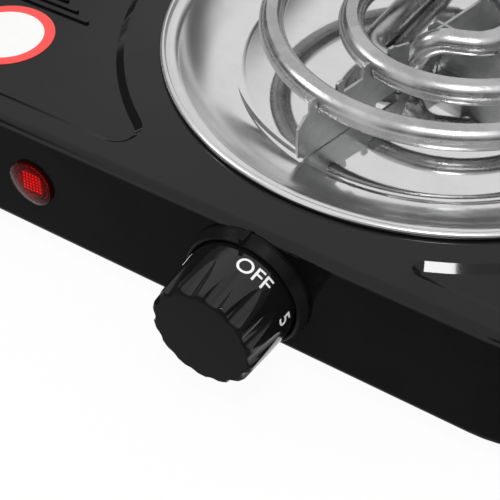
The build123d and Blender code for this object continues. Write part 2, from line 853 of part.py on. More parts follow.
with BuildPart() as thermostat:
    with BuildSketch(Plane.XZ.offset(-sheet)):
        RectangleRounded(thermostat_width, thermostat_height, thermostat_round)
    extrude(amount=-thermostat_depth)
    with BuildSketch(Plane.XZ.offset(-sheet)):
        Circle(bush_diameter / 2)
    extrude(amount=sheet + bush_front)
    with BuildSketch(Plane.XZ.offset(bush_front)):
        Circle(shaft_r + fit)
    extrude(amount=-bush_front - shaft_back - fit, mode=Mode.SUBTRACT)
    with BuildSketch(Plane.XZ.offset(-sheet - thermostat_depth)):
        with Locations((-blade_pitch / 2, 0), (blade_pitch / 2, 0)):
            Rectangle(blade_thickness, blade_width)
    extrude(amount=-blade_length)

with BuildPart() as thermostat_nut:
    with BuildSketch(Plane.XZ.offset(bezel_floor)):
        RegularPolygon(nut_flats / 2, 6, major_radius=False)
        Circle(bush_diameter / 2 + fit, mode=Mode.SUBTRACT)
    extrude(amount=nut_thickness)

# Pilot lamps, drawn round the lamp's axis with the front wall's outer face at y = 0
lens_r = lens_diameter / 2
neck_r = lens_neck_diameter / 2
with BuildPart() as lamp_lens:
    with BuildSketch(Plane.XY):
        with BuildLine():
            Polyline((neck_r - lens_wall, lens_length), (neck_r, lens_length), (neck_r, 0), (lens_r, 0))
            Line((lens_r, 0), (lens_r, -lens_rim))
            TangentArc((0, -lens_rise), (lens_r, -lens_rim), tangent=(1, 0))
            Polyline((0, -lens_rise), (0, lens_wall - lens_rim), (neck_r - lens_wall, lens_wall - lens_rim))
            Line((neck_r - lens_wall, lens_wall - lens_rim), (neck_r - lens_wall, lens_length))
        make_face()
    revolve(axis=Axis.Y)

holder_r = neck_r + hole_clearance + holder_wall
with BuildPart() as lamp_holder:
    with BuildSketch(Plane.XZ.offset(-sheet)):
        Circle(holder_r)
        Circle(neck_r + fit, mode=Mode.SUBTRACT)
    extrude(amount=-holder_length)
    with BuildSketch(Plane.XZ.offset(-sheet - holder_length)):
        Circle(holder_r)
    extrude(amount=-holder_wall)

neon_back = sheet + holder_length
with BuildPart() as neon_bulb:
    with BuildSketch(Plane.XZ.offset(-neon_back)):
        Circle(neon_diameter / 2)
    extrude(amount=neon_length)
    fillet(neon_bulb.edges().group_by(Axis.Y)[0], neon_round)

# Mains inlet at the back, the terminal strip behind it and the leads to the thermostats and lamps
with BuildPart() as cord_gland:
    with BuildSketch(back_plane):
        Circle(gland_flange_diameter / 2)
    extrude(amount=gland_flange)
    fillet(cord_gland.edges().group_by(Axis.Y)[-1], gland_round)
    with BuildSketch(back_plane):
        Circle(gland_neck_diameter / 2)
    extrude(amount=-gland_neck_length)
    with BuildSketch(back_plane.offset(gland_flange)):
        Circle(gland_bore / 2)
    extrude(amount=-gland_flange - gland_neck_length, mode=Mode.SUBTRACT)
write(cord_gland.part, "cord_gland")

with BuildPart() as gland_nut:
    with BuildSketch(back_plane.offset(-sheet)):
        RegularPolygon(gland_flange_diameter / 2, 6, major_radius=False)
        Circle(gland_neck_diameter / 2 + fit, mode=Mode.SUBTRACT)
    extrude(amount=-gland_nut_thickness)
write(gland_nut.part, "gland_nut")

strip_block_y = -front_y - strip_block_from_back
strip_screw_points = [(-strip_screw_pitch / 2, strip_block_y), (strip_screw_pitch / 2, strip_block_y)]
with BuildPart() as terminal_strip:
    with BuildSketch(Plane((0, strip_block_y, base_top))):
        RectangleRounded(strip_block_length, strip_block_depth, strip_block_round)
    extrude(amount=strip_block_height)
    with Locations(*[(x, y, base_top) for x, y in strip_screw_points]):
        Cylinder(screw_diameter / 2 + fit, 2 * (screw_reach + fit), mode=Mode.SUBTRACT)
write(terminal_strip.part, "terminal_strip")
write(pan_head_screws(strip_screw_points, base_bottom, base_sheet + screw_reach), "strip_screws")

blade_back = front_y + sheet + thermostat_depth + blade_length
strip_face = strip_block_y - strip_block_depth / 2
lead_level = base_top + strip_block_height / 2
holder_back = front_y + sheet + holder_length + holder_wall
lead_turn_y = (strip_face + blade_back) / 2


def lead(points, bends):
    """Round lead along straight runs joined by wide bends."""
    with BuildPart() as tube:
        with BuildLine() as route:
            FilletPolyline(*points, radius=bends)
        with BuildSketch(Plane(route.line @ 0, z_dir=route.line % 0)):
            Circle(lead_diameter / 2)
        sweep()
    return tube.part


leads = []
for sign in sides.values():
    start_x = sign * lead_spread
    far_x = sign * (knob_x - blade_pitch / 2)
    leads.append(
        lead(
            [
                (start_x, strip_face, lead_level),
                (start_x, lead_turn_y, lead_level),
                (far_x, lead_turn_y, control_z),
                (far_x, blade_back, control_z),
            ],
            lead_bend,
        )
    )
    lamp_start_x = sign * 2 * lead_spread
    leads.append(
        lead(
            [
                (lamp_start_x, strip_face, lead_level),
                (lamp_start_x, lead_turn_y + lead_bend, lead_level),
                (sign * lamp_from_middle, lead_turn_y - lead_bend, control_z),
                (sign * lamp_from_middle, holder_back, control_z),
            ],
            lead_bend,
        )
    )
with BuildPart() as wiring:
    add(leads)
write(wiring.part, "wiring")

# Base plate with its vents, drawn last because it takes the holes of all that stands on it
with BuildPart() as base_plate:
    with BuildSketch(Plane.XY.offset(base_bottom)):
        inset = 2 * base_inset
        RectangleRounded(body_length - inset, body_depth - inset, corner_radius - base_inset)
        for burner_x, _ in burner_points:
            with Locations((burner_x, 0)):
                with GridLocations(vent_pitch, 0, vent_count, 1):
                    SlotOverall(vent_length, vent_width, rotation=90, mode=Mode.SUBTRACT)
            with Locations(*[(burner_x + x, y) for x, y in rivet_points]):
                Circle(rivet_diameter / 2 + fit, mode=Mode.SUBTRACT)
        with Locations(*foot_points, *base_screw_points, *strip_screw_points):
            Circle(screw_diameter / 2 + fit, mode=Mode.SUBTRACT)
    extrude(amount=base_sheet)
write(base_plate.part, "base_plate")

# Both burners and both sets of controls
for side, sign in sides.items():
    at_burner = Location((sign * burner_pitch / 2, 0, 0))
    for name, piece in {
        "drip_pan": drip_pan,
        "coil": coil,
        "long_support": long_support,
        "cross_support": cross_support,
        "terminal_block": terminal_block,
        "hinge_pins": hinge_pins,
        "hinge_bracket": hinge_bracket,
        "bracket_rivets": bracket_rivets,
    }.items():
        write(piece.part.moved(at_burner), f"{side}_{name}")
    at_knob = Location((sign * knob_x, front_y, control_z))
    for name, piece in {
        "knob": knob,
        "knob_bezel": knob_bezel,
        "thermostat": thermostat,
        "thermostat_shaft": thermostat_shaft,
        "thermostat_nut": thermostat_nut,
    }.items():
        write(piece.part.moved(at_knob), f"{side}_{name}")
    at_lamp = Location((sign * lamp_from_middle, front_y, control_z))
    for name, piece in {
        "lamp_lens": lamp_lens,
        "lamp_holder": lamp_holder,
        "neon_bulb": neon_bulb,
    }.items():
        write(piece.part.moved(at_lamp), f"{side}_{name}")
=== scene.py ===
import math

import bmesh
import bpy
from mathutils import Matrix, Vector


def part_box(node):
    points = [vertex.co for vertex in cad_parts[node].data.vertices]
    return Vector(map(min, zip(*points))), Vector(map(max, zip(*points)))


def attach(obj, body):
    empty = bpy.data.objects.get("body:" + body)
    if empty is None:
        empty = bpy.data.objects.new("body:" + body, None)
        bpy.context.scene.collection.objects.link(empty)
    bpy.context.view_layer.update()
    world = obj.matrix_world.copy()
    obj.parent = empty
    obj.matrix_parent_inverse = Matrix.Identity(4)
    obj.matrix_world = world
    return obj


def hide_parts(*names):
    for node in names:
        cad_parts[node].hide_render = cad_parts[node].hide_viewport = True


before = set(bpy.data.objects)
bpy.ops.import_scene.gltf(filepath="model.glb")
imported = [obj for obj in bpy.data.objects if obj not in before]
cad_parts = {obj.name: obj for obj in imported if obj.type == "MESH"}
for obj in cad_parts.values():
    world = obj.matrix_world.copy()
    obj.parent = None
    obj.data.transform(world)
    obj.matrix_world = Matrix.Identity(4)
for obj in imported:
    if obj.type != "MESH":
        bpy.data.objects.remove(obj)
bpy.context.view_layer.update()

bl_info = {
    "name": "Double coil hot plate",
    "version": (1, 0, 0),
    "blender": (4, 5, 0),
    "location": "View3D > Sidebar > Hot plate",
    "description": "Finishes, dial lettering, lamp prisms and stage for a two-burner hot plate",
    "category": "Object",
}

SIDES = ("right", "left")
MM = 0.001

# Steps along the arcs of a pan's section and of its gates, and facets round a pan
GROOVE_STEPS = 12
HOLLOW_STEPS = 40
SHOULDER_STEPS = 16
BEAD_STEPS = 28
GATE_ROUND_STEPS = 24
GATE_RIM_STEPS = 16
PAN_FACETS = 320

# Limits used while meshes are made
PAN_WELD = 0.0001 * MM
CUT_REACH = 50 * MM
SHARP_EDGE = math.radians(20)
LETTER_WELD = 0.001 * MM
LETTER_EDGE = 0.7 * MM
LETTER_PASSES = 4

# Capital height of the built-in font over its size, thickening of its strokes over that height
CAPITAL_SHARE = 0.73
STROKE_SHARE = 0.006

# Depth below the top of the housing at which the gloss coat has faded out, and at which it starts to fade
GLOSS_FADE = (3.2 * MM, 1.9 * MM)
DUST = (0.10, 0.10, 0.10, 1)
PRINT_BLUR = 0.08 * MM

# Waves of the pans' turning rings and of the leads' sleeving, in radians per metre
RING_RATE = 5200.0
WEAVE_RATE = 5200.0

# Foot and crest of a prism's lit part over its height, and how dark and bright the two are: painted shade in
# the grooves, painted glow on the crests
PRISM_LIT = (0.2, 0.7)
PRISM_PAINTED_GLOW = (0.12, 1.4)

# Tones of the pieces that the photo doesn't show
CERAMIC = (0.82, 0.79, 0.72)
LAMP_HOLDER = (0.78, 0.76, 0.70)
NEON = (0.75, 0.45, 0.35)
ZINC = (0.62, 0.62, 0.59)
GALVANISED = (0.56, 0.57, 0.58)
RUBBER = (0.022, 0.022, 0.022)
NYLON = (0.018, 0.018, 0.018)
STRIP = (0.78, 0.77, 0.72)
SLEEVING = (0.62, 0.60, 0.52)
CONTROL = (0.15, 0.08, 0.05)

# Studio: sky levels by the height of a direction, and a pale band on the left at every height
SKY_STOPS = ((0.0, 0.9), (0.10, 0.85), (0.17, 0.08), (0.44, 0.14), (0.60, 0.80), (0.85, 0.95), (1.0, 0.7))
BAND_MIDDLE = -0.32
BAND_HALF = 0.16
BAND_END = 0.26
BAND_TONE = (0.9, 0.9, 0.9, 1)
FILM_WIDTH = 36.0
NEAREST = 0.01


# Places read from the frame
def middle(node):
    low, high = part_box(node)
    return (low + high) / 2


def half_width(node):
    low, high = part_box(node)
    return (high.x - low.x) / 2


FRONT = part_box("right_knob_bezel")[1].y
DIAL = {side: middle(f"{side}_thermostat_shaft") for side in SIDES}
LAMP = {side: middle(f"{side}_lamp_lens") for side in SIDES}
BURNER = {side: middle(f"{side}_drip_pan") for side in SIDES}
STICKER = middle("blank_sticker")
STICKER_RADIUS = half_width("blank_sticker")
KNOB_RADIUS = half_width("right_knob")
KNOB_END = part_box("right_knob")[0].y
HOUSING_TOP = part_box("top_housing")[1].z
PRISM_BACK = FRONT + 0.45 * MM


class Wire:
    """One output of a node, on which sums are written as Python expressions."""

    def __init__(self, board, socket):
        self.board = board
        self.socket = socket

    def sum(self, operation, *values):
        return self.board.node("ShaderNodeMath", {"operation": operation}, dict(enumerate(values)))

    def __add__(self, other):
        return self.sum("ADD", self, other)

    def __radd__(self, other):
        return self.sum("ADD", other, self)

    def __sub__(self, other):
        return self.sum("SUBTRACT", self, other)

    def __rsub__(self, other):
        return self.sum("SUBTRACT", other, self)

    def __mul__(self, other):
        return self.sum("MULTIPLY", self, other)

    def __truediv__(self, other):
        return self.sum("DIVIDE", self, other)

    def __abs__(self):
        return self.sum("ABSOLUTE", self)

    def root(self):
        return self.sum("SQRT", self)

    def sine(self):
        return self.sum("SINE", self)

    def most(self, other):
        return self.sum("MAXIMUM", self, other)


class Board:
    """A node tree that is filled node by node."""

    def __init__(self, tree):
        self.tree = tree

    def node(self, kind, settings=None, sockets=None, out=0):
        """Add a node: its settings first, then the values or links of its sockets."""
        made = self.tree.nodes.new(kind)
        for name, value in (settings or {}).items():
            setattr(made, name, value)
        for name, value in (sockets or {}).items():
            self.join(value, made.inputs[name])
        return Wire(self, made.outputs[out])

    def join(self, value, socket):
        if isinstance(value, Wire):
            self.tree.links.new(value.socket, socket)
        else:
            socket.default_value = value

    def split(self, vector):
        """The three coordinates of a vector."""
        parts = self.node("ShaderNodeSeparateXYZ", None, {0: vector}).socket.node
        return [Wire(self, parts.outputs[axis]) for axis in "XYZ"]

    def span(self, value, low, high, to_low=0.0, to_high=1.0):
        """A value taken from one range to another and held at its ends."""
        sockets = {0: value, 1: low, 2: high, 3: to_low, 4: to_high}
        return self.node("ShaderNodeMapRange", {"interpolation_type": "SMOOTHSTEP"}, sockets)

    def mix(self, share, first, second):
        """Blend of two colours."""
        sockets = {"Factor": share, 6: first, 7: second}
        return self.node("ShaderNodeMix", {"data_type": "RGBA"}, sockets, 2)

    def ramp(self, value, stops):
        """Grey by a value, from stops of place and level."""
        made = self.node("ShaderNodeValToRGB", None, {"Fac": value})
        elements = made.socket.node.color_ramp.elements
        while len(elements) < len(stops):
            elements.new(0.5)
        for element, (place, level) in zip(elements, stops):
            element.position = place
            element.color = (level, level, level, 1)
        return made


class Finish(Board):
    """A surface finish: a principled shader and the patterns that feed it."""

    def __init__(self, name, **values):
        self.material = bpy.data.materials.new(name)
        self.material.use_nodes = True
        super().__init__(self.material.node_tree)
        self.shader = self.tree.nodes["Principled BSDF"]
        self.set(**values)
        self.place = self.node("ShaderNodeTexCoord", out="Object")

    def set(self, **values):
        for name, value in values.items():
            self.join(value, self.shader.inputs[name.replace("_", " ")])

    def axes(self):
        """The three coordinates of a point on the piece."""
        return self.split(self.place)

    def noise(self, per_metre, detail=3.0, rough=0.55, stretch=None):
        place = self.place
        if stretch:
            place = self.node("ShaderNodeMapping", None, {"Vector": place, "Scale": stretch})
        sockets = {"Vector": place, "Scale": per_metre, "Detail": detail, "Roughness": rough}
        return self.node("ShaderNodeTexNoise", None, sockets)

    def cells(self, per_metre):
        """Distance of a point from the middle of its cell."""
        return self.node("ShaderNodeTexVoronoi", None, {"Vector": self.place, "Scale": per_metre}, "Distance")

    def spangle(self, per_metre):
        """One level for each cell."""
        shades = self.node("ShaderNodeTexVoronoi", None, {"Vector": self.place, "Scale": per_metre}, "Color")
        return self.node("ShaderNodeSeparateColor", None, {0: shades})

    def bump(self, height, strength, depth, below=None):
        sockets = {"Height": height, "Strength": strength, "Distance": depth}
        if below:
            sockets["Normal"] = below
        return self.node("ShaderNodeBump", None, sockets)


def colour(values):
    return tuple(values[:3]) + (1.0,)


def tint(values, by):
    return tuple(min(1.0, part * by) for part in values[:3]) + (1.0,)


def dress(node, finish):
    """Give a node of the frame its finish."""
    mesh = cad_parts[node].data
    mesh.materials.clear()
    mesh.materials.append(finish)


def dress_both(piece, finish):
    for side in SIDES:
        dress(f"{side}_{piece}", finish)


def add_object(name, data):
    """New object in the scene."""
    made = bpy.data.objects.new(name, data)
    bpy.context.scene.collection.objects.link(made)
    return made


def settled_mesh(holder):
    """Plain mesh of an object as its modifiers leave it."""
    bpy.context.view_layer.update()
    graph = bpy.context.evaluated_depsgraph_get()
    return bpy.data.meshes.new_from_object(holder.evaluated_get(graph), depsgraph=graph)


def plain_piece(name, mesh, body, finish):
    """A finished piece with its place in its mesh, riding on a body."""
    piece = add_object(name, mesh)
    mesh.materials.clear()
    mesh.materials.append(finish)
    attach(piece, body)
    return piece


# Finishes
def plan_distance(aside, along):
    return (aside * aside + along * along).root()


def enamel(look):
    """Black stove enamel, glossiest on top, with a slight orange peel, smudges and fine dust."""
    finish = Finish("black_enamel", Coat_Roughness=0.06)
    _, _, up = finish.axes()
    faded, full = (HOUSING_TOP - depth for depth in GLOSS_FADE)
    gloss = finish.span(up, faded, full, look.wall_gloss, look.top_gloss)
    cloud = finish.noise(9.0, detail=2.0)
    smudge = finish.span(finish.noise(34.0, detail=4.0, rough=0.6), 0.42, 0.72)
    specks = finish.span(finish.cells(620.0), 0.0, 0.07, 1.0, 0.0)
    dust = specks * finish.span(finish.noise(70.0), 0.55, 0.7)
    base = finish.mix(cloud, tint(look.enamel, 0.8), tint(look.enamel, 1.2))
    finish.set(
        Base_Color=finish.mix(dust * 0.5, base, DUST),
        Roughness=look.enamel_roughness + smudge * 0.045 + dust * 0.2,
        Specular_IOR_Level=look.enamel_specular,
        Coat_Weight=gloss - smudge * 0.03,
        Normal=finish.bump(finish.noise(420.0, detail=1.0), strength=0.05, depth=0.3 * MM),
    )
    return finish.material


def sticker_film(look):
    """White film with a broad printed ring at its edge."""
    finish = Finish("sticker_film", Specular_IOR_Level=0.35)
    across, along, _ = finish.axes()
    reach = plan_distance(across - STICKER.x, along - STICKER.y)
    edge = STICKER_RADIUS * look.ring_share
    ring = finish.span(reach, edge - PRINT_BLUR, edge + PRINT_BLUR)
    paper = finish.noise(260.0, detail=4.0)
    white = finish.mix(paper, tint(look.film, 0.96), colour(look.film))
    red = finish.mix(finish.noise(160.0, detail=5.0), tint(look.ring, 0.92), colour(look.ring))
    finish.set(
        Base_Color=finish.mix(ring, white, red),
        Roughness=0.34 + paper * 0.12,
        Normal=finish.bump(finish.noise(900.0, detail=2.0), strength=0.06, depth=0.05 * MM),
    )
    return finish.material


def polished_pan(look):
    """Spun and polished sheet: faint turning rings, light wipe marks and a duller wall."""
    finish = Finish("polished_pan", Metallic=1.0)
    across, along, _ = finish.axes()
    reach = plan_distance(abs(across) - BURNER["right"].x, along - BURNER["right"].y)
    rings = (reach * RING_RATE + finish.noise(60.0, detail=2.0) * 7.0).sine()
    wipe = finish.span(finish.noise(46.0, detail=5.0, rough=0.65), 0.38, 0.75)
    wall = finish.span(reach, look.wall_foot, look.wall_foot + look.wall_blend)
    wave = finish.bump(finish.noise(22.0, detail=1.0), strength=0.03, depth=1.2 * MM)
    finish.set(
        Base_Color=finish.mix(wipe, colour(look.pan), tint(look.pan, 0.93)),
        Roughness=look.pan_roughness + wipe * 0.05 + wall * look.wall_roughness,
        Normal=finish.bump(rings, strength=0.006, depth=0.03 * MM, below=wave),
    )
    return finish.material


def element_sheath(look):
    """Satin alloy sheath with mottling from rolling and bending."""
    finish = Finish("element_sheath", Metallic=1.0)
    mottle = finish.noise(75.0, detail=6.0, rough=0.62)
    grain = finish.noise(1900.0)
    specks = finish.span(finish.cells(520.0), 0.03, 0.10, 1.0, 0.0)
    pits = specks * finish.span(finish.noise(130.0), 0.52, 0.66)
    base = finish.mix(finish.span(mottle, 0.36, 0.66), tint(look.sheath, 0.84), tint(look.sheath, 1.10))
    finish.set(
        Base_Color=finish.mix(pits * 0.6, base, tint(look.sheath, 0.4)),
        Roughness=look.sheath_roughness + finish.span(mottle, 0.35, 0.7) * 0.10 + pits * 0.15,
        Normal=finish.bump(grain + mottle * 0.8, strength=0.12, depth=0.05 * MM),
    )
    return finish.material


def support_sheet(look):
    """Zinc-coated strip with faint spangle and drawing marks."""
    finish = Finish("support_steel", Metallic=1.0)
    shade = finish.spangle(260.0)
    streak = finish.noise(120.0, detail=4.0, rough=0.6, stretch=(0.25, 0.25, 6.0))
    base = finish.mix(shade, tint(look.support, 0.86), tint(look.support, 1.08))
    finish.set(
        Base_Color=finish.mix(finish.span(streak, 0.5, 0.8) * 0.35, base, tint(look.support, 0.6)),
        Roughness=0.30 + shade * 0.12 + streak * 0.10,
        Normal=finish.bump(streak, strength=0.10, depth=0.06 * MM),
    )
    return finish.material


def knob_plastic(look):
    """Moulded black plastic: satin on the end face, with its sheen painted in as a lighter colour, glossier
    on the flutes.
    """
    finish = Finish("knob_plastic", Specular_IOR_Level=0.03, Coat_Roughness=0.05)
    _, along, _ = finish.axes()
    end = finish.span(along, KNOB_END + 0.5 * MM, KNOB_END + 1.3 * MM, 1.0, 0.0)
    grain = finish.noise(2400.0, detail=2.0)
    rub = finish.span(finish.noise(110.0, detail=4.0), 0.45, 0.75)
    finish.set(
        # Painted sheen: the satin end face is painted a little lighter; the rub marks are lighter wear.
        Base_Color=finish.mix(rub * 0.4 + end * 0.2, colour(look.knob), tint(look.knob, 1.7)),
        Roughness=0.20 + rub * 0.06 + end * 0.24,
        Coat_Weight=0.80 - end * 0.77,
        Normal=finish.bump(grain, strength=0.08, depth=0.03 * MM),
    )
    return finish.material


def bezel_plastic(look):
    """Semi-gloss black moulding."""
    finish = Finish("bezel_plastic", Specular_IOR_Level=0.06)
    rub = finish.span(finish.noise(140.0, detail=4.0), 0.4, 0.7)
    finish.set(
        Base_Color=finish.mix(rub, colour(look.knob), tint(look.knob, 1.5)),
        Roughness=0.24 + rub * 0.10,
        Normal=finish.bump(finish.noise(1500.0, detail=2.0), strength=0.06, depth=0.03 * MM),
    )
    return finish.material


def dial_paint(look):
    """White pad-printed paint with a slightly uneven coat."""
    finish = Finish("dial_paint")
    coat = finish.noise(900.0, detail=4.0)
    finish.set(
        Base_Color=finish.mix(coat, tint(look.lettering, 0.93), colour(look.lettering)),
        Roughness=0.42 + coat * 0.12,
        Normal=finish.bump(coat, strength=0.08, depth=0.02 * MM),
    )
    return finish.material


def red_lens(look):
    """Clear red moulding of the pilot lamp."""
    finish = Finish("red_lens", Transmission_Weight=0.95, IOR=1.15)
    haze = finish.noise(240.0)
    finish.set(
        Base_Color=finish.mix(haze, colour(look.lens), tint(look.lens, 0.85)),
        Roughness=0.004 + haze * 0.012,
        Normal=finish.bump(haze, strength=0.02, depth=0.05 * MM),
    )
    return finish.material


def prism_red(look):
    """Red diffuser prisms behind the lens, with a painted glow brightest on their crests and painted shade in
    their grooves.
    """
    finish = Finish("prism_red", Emission_Strength=1.0)
    haze = finish.noise(500.0)
    _, along, _ = finish.axes()
    foot, crest = (PRISM_BACK - share * look.prism_height for share in PRISM_LIT)
    ridge = finish.span(along, crest, foot, 1.0, 0.0)
    # Painted light: the crests are painted bright and glowing, the grooves dark as painted shade, in both
    # colour and emission.
    painted_glow = finish.mix(ridge, *(tint(look.lens, by) for by in PRISM_PAINTED_GLOW))
    finish.set(Base_Color=painted_glow, Emission_Color=painted_glow, Roughness=0.25 + haze * 0.2)
    return finish.material


def plain_metal(name, tone, roughness, spangle):
    """Plated sheet or screw metal with faint spangle and scuffs."""
    finish = Finish(name, Metallic=1.0)
    shade = finish.spangle(spangle)
    scuff = finish.span(finish.noise(90.0, detail=6.0, rough=0.65), 0.45, 0.75)
    base = finish.mix(shade, tint(tone, 0.88), tint(tone, 1.06))
    finish.set(
        Base_Color=finish.mix(scuff * 0.4, base, tint(tone, 0.7)),
        Roughness=roughness + shade * 0.08 + scuff * 0.12,
        Normal=finish.bump(finish.noise(800.0), strength=0.08, depth=0.04 * MM),
    )
    return finish.material


def moulding(name, tone, roughness, grain):
    """Moulded or fired material with a fine surface grain."""
    finish = Finish(name)
    cloud = finish.noise(80.0, detail=4.0)
    finish.set(
        Base_Color=finish.mix(cloud, tint(tone, 0.82), tint(tone, 1.08)),
        Roughness=roughness + cloud * 0.14,
        Normal=finish.bump(finish.noise(grain), strength=0.18, depth=0.08 * MM),
    )
    return finish.material


def sleeving(name, tone):
    """Woven sleeving of the leads."""
    finish = Finish(name)
    across, along, up = finish.axes()
    weave = ((across + along) * WEAVE_RATE).sine() * ((across - along + up) * WEAVE_RATE).sine()
    finish.set(
        Base_Color=finish.mix(finish.span(weave, -1.0, 1.0), tint(tone, 0.7), colour(tone)),
        Roughness=0.75 + finish.noise(300.0) * 0.15,
        Normal=finish.bump(weave, strength=0.3, depth=0.1 * MM),
    )
    return finish.material


# Geometry trees
class Tree(Board):
    """A geometry tree with named inputs."""

    def __init__(self, name, inputs):
        tree = bpy.data.node_groups.new(name, "GeometryNodeTree")
        super().__init__(tree)
        tree.interface.new_socket("Geometry", in_out="INPUT", socket_type="NodeSocketGeometry")
        self.keys = {}
        for label, (kind, value) in inputs.items():
            socket = tree.interface.new_socket(label, in_out="INPUT", socket_type=kind)
            self.keys[label] = (socket.identifier, value)
        tree.interface.new_socket("Geometry", in_out="OUTPUT", socket_type="NodeSocketGeometry")
        self.entry = tree.nodes.new("NodeGroupInput")

    def given(self, label):
        return Wire(self, self.entry.outputs[label])

    def end(self, geometry):
        """Close the tree: real meshes with their finish."""
        real = self.node("GeometryNodeRealizeInstances", None, {0: geometry})
        dressed = {"Geometry": real, "Material": self.given("Finish")}
        made = self.node("GeometryNodeSetMaterial", None, dressed)
        self.tree.links.new(made.socket, self.tree.nodes.new("NodeGroupOutput").inputs[0])

    def grow(self, name):
        """Run the tree and give back a plain mesh."""
        holder = add_object(name, bpy.data.meshes.new(name))
        run = holder.modifiers.new("grow", "NODES")
        run.node_group = self.tree
        for key, value in self.keys.values():
            run[key] = value
        mesh = settled_mesh(holder)
        bpy.data.objects.remove(holder)
        return mesh


def prism_tree(side, count, height, finish):
    """Square plate of small pyramids, standing up along Z."""
    inputs = {
        "Side": ("NodeSocketFloat", side),
        "Count": ("NodeSocketInt", count),
        "Height": ("NodeSocketFloat", height),
        "Finish": ("NodeSocketMaterial", finish),
    }
    tree = Tree("lamp_prisms", inputs)
    along = tree.given("Count")
    cell = tree.given("Side") / along
    inner = tree.given("Side") - cell
    plate = {"Size X": inner, "Size Y": inner, "Vertices X": along, "Vertices Y": along}
    grid = tree.node("GeometryNodeMeshGrid", None, plate)
    shape = {
        "Vertices": 4,
        "Radius Top": 0.0,
        "Radius Bottom": cell * math.sqrt(0.5),
        "Depth": tree.given("Height"),
    }
    pyramid = tree.node("GeometryNodeMeshCone", {"fill_type": "NGON"}, shape)
    stand = {"Points": grid, "Instance": pyramid, "Rotation": (0, 0, math.radians(45))}
    tree.end(tree.node("GeometryNodeInstanceOnPoints", None, stand))
    return tree


# Drip pans
def arc_points(centre, radius, start, end, count):
    """Points on an arc, in radius and height, from one angle to another."""
    angles = [start + (end - start) * step / count for step in range(count + 1)]
    return [(centre[0] + radius * math.cos(a), centre[1] + radius * math.sin(a)) for a in angles]


def pan_section(low, high, look):
    """Section of a pan from its middle over the rim and back underneath, in radius and height."""
    radius = (high.x - low.x) / 2
    floor = low.z + look.floor_rise
    rim = high.z - 2 * look.bead + look.sheet
    rise = rim - floor
    wall_end = look.wall_foot + look.wall_width
    lean = math.atan2(rise, look.wall_width)
    bend = math.hypot(rise, look.wall_width) / (2 * math.sin(lean))
    hollow = bend * look.wall_turn
    shoulder = bend - hollow
    groove = (look.groove_half ** 2 + look.groove_depth ** 2) / (2 * look.groove_depth)
    half = math.asin(look.groove_half / groove)
    up, down = math.pi / 2, -math.pi / 2

    def face(drop):
        level = floor - drop
        dip = (look.groove_radius, level - look.groove_depth + groove)
        line = [(0.0, level), (look.groove_radius / 2, level)]
        line += arc_points(dip, groove, down - half, down + half, GROOVE_STEPS)
        foot = (look.wall_foot, floor + hollow)
        line += arc_points(foot, hollow + drop, down, down + 2 * lean, HOLLOW_STEPS)[1:]
        crown = (wall_end, rim - shoulder)
        line += arc_points(crown, shoulder - drop, up + 2 * lean, up, SHOULDER_STEPS)[1:]
        return line

    seat = (radius - look.bead, high.z - look.bead)
    meet = math.pi + math.asin((seat[1] - rim) / look.bead)
    return face(0.0) + arc_points(seat, look.bead, meet, down, BEAD_STEPS) + face(look.sheet)[::-1]


def turned_mesh(name, section):
    """Closed skin of a section turned round the Z axis, on which it starts and ends."""
    steps = [(step, (step + 1) % PAN_FACETS) for step in range(PAN_FACETS)]
    points = []
    for reach, level in section[1:-1]:
        for step in range(PAN_FACETS):
            turn = 2 * math.pi * step / PAN_FACETS
            points.append((reach * math.cos(turn), reach * math.sin(turn), level))
    top = len(points)
    last = top - PAN_FACETS
    faces = [
        (ring + step, ring + after, ring + PAN_FACETS + after, ring + PAN_FACETS + step)
        for ring in range(0, last, PAN_FACETS) for step, after in steps
    ]
    for step, after in steps:
        faces += [(top, after, step), (top + 1, last + step, last + after)]
    points += [(0, 0, section[0][1]), (0, 0, section[-1][1])]
    mesh = bpy.data.meshes.new(name)
    mesh.from_pydata(points, [], faces)
    work = bmesh.new()
    work.from_mesh(mesh)
    bmesh.ops.remove_doubles(work, verts=work.verts, dist=PAN_WELD)
    bmesh.ops.recalc_face_normals(work, faces=work.faces)
    work.to_mesh(mesh)
    work.free()
    return mesh


def gate_cutter(across, start, look):
    """Upright prism that cuts one gate: a round end towards the middle, an arc along the rim."""
    half = look.gate_width / 2
    end = arc_points((across, start + half), half, 2 * math.pi, math.pi, GATE_ROUND_STEPS)
    left, right = (math.acos((across + way * half) / look.gate_end) for way in (-1, 1))
    outline = (end + arc_points((0.0, 0.0), look.gate_end, left, right, GATE_RIM_STEPS))[::-1]
    count = len(outline)
    points = [(x, y, z) for z in (-CUT_REACH, CUT_REACH) for x, y in outline]
    sides = [(i, (i + 1) % count, count + (i + 1) % count, count + i) for i in range(count)]
    mesh = bpy.data.meshes.new("gate_cutter")
    mesh.from_pydata(points, [], sides + [tuple(range(count))[::-1], tuple(range(count, 2 * count))])
    return mesh


def spun_pan(name, side, look):
    """Finely turned pan sheet with the gates for the legs."""
    blank = add_object(name, turned_mesh(name, pan_section(*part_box(f"{side}_drip_pan"), look)))
    block_low, block_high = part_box(f"{side}_terminal_block")
    legs = (block_low.x + look.leg_inset, block_high.x - look.leg_inset)
    cutters = []
    for leg, start in zip(legs, look.gate_start):
        cutter = add_object("gate_cutter", gate_cutter(leg - BURNER[side].x, start, look))
        cutter.location.z = BURNER[side].z
        cut = blank.modifiers.new("gate", "BOOLEAN")
        cut.operation = "DIFFERENCE"
        cut.solver = "EXACT"
        cut.object = cutter
        cutters.append(cutter)
    pan = settled_mesh(blank)
    for spare in (blank, *cutters):
        bpy.data.objects.remove(spare)
    pan.transform(Matrix.Translation((BURNER[side].x, BURNER[side].y, 0)))
    pan.shade_smooth()
    pan.set_sharp_from_angle(angle=SHARP_EDGE)
    return pan


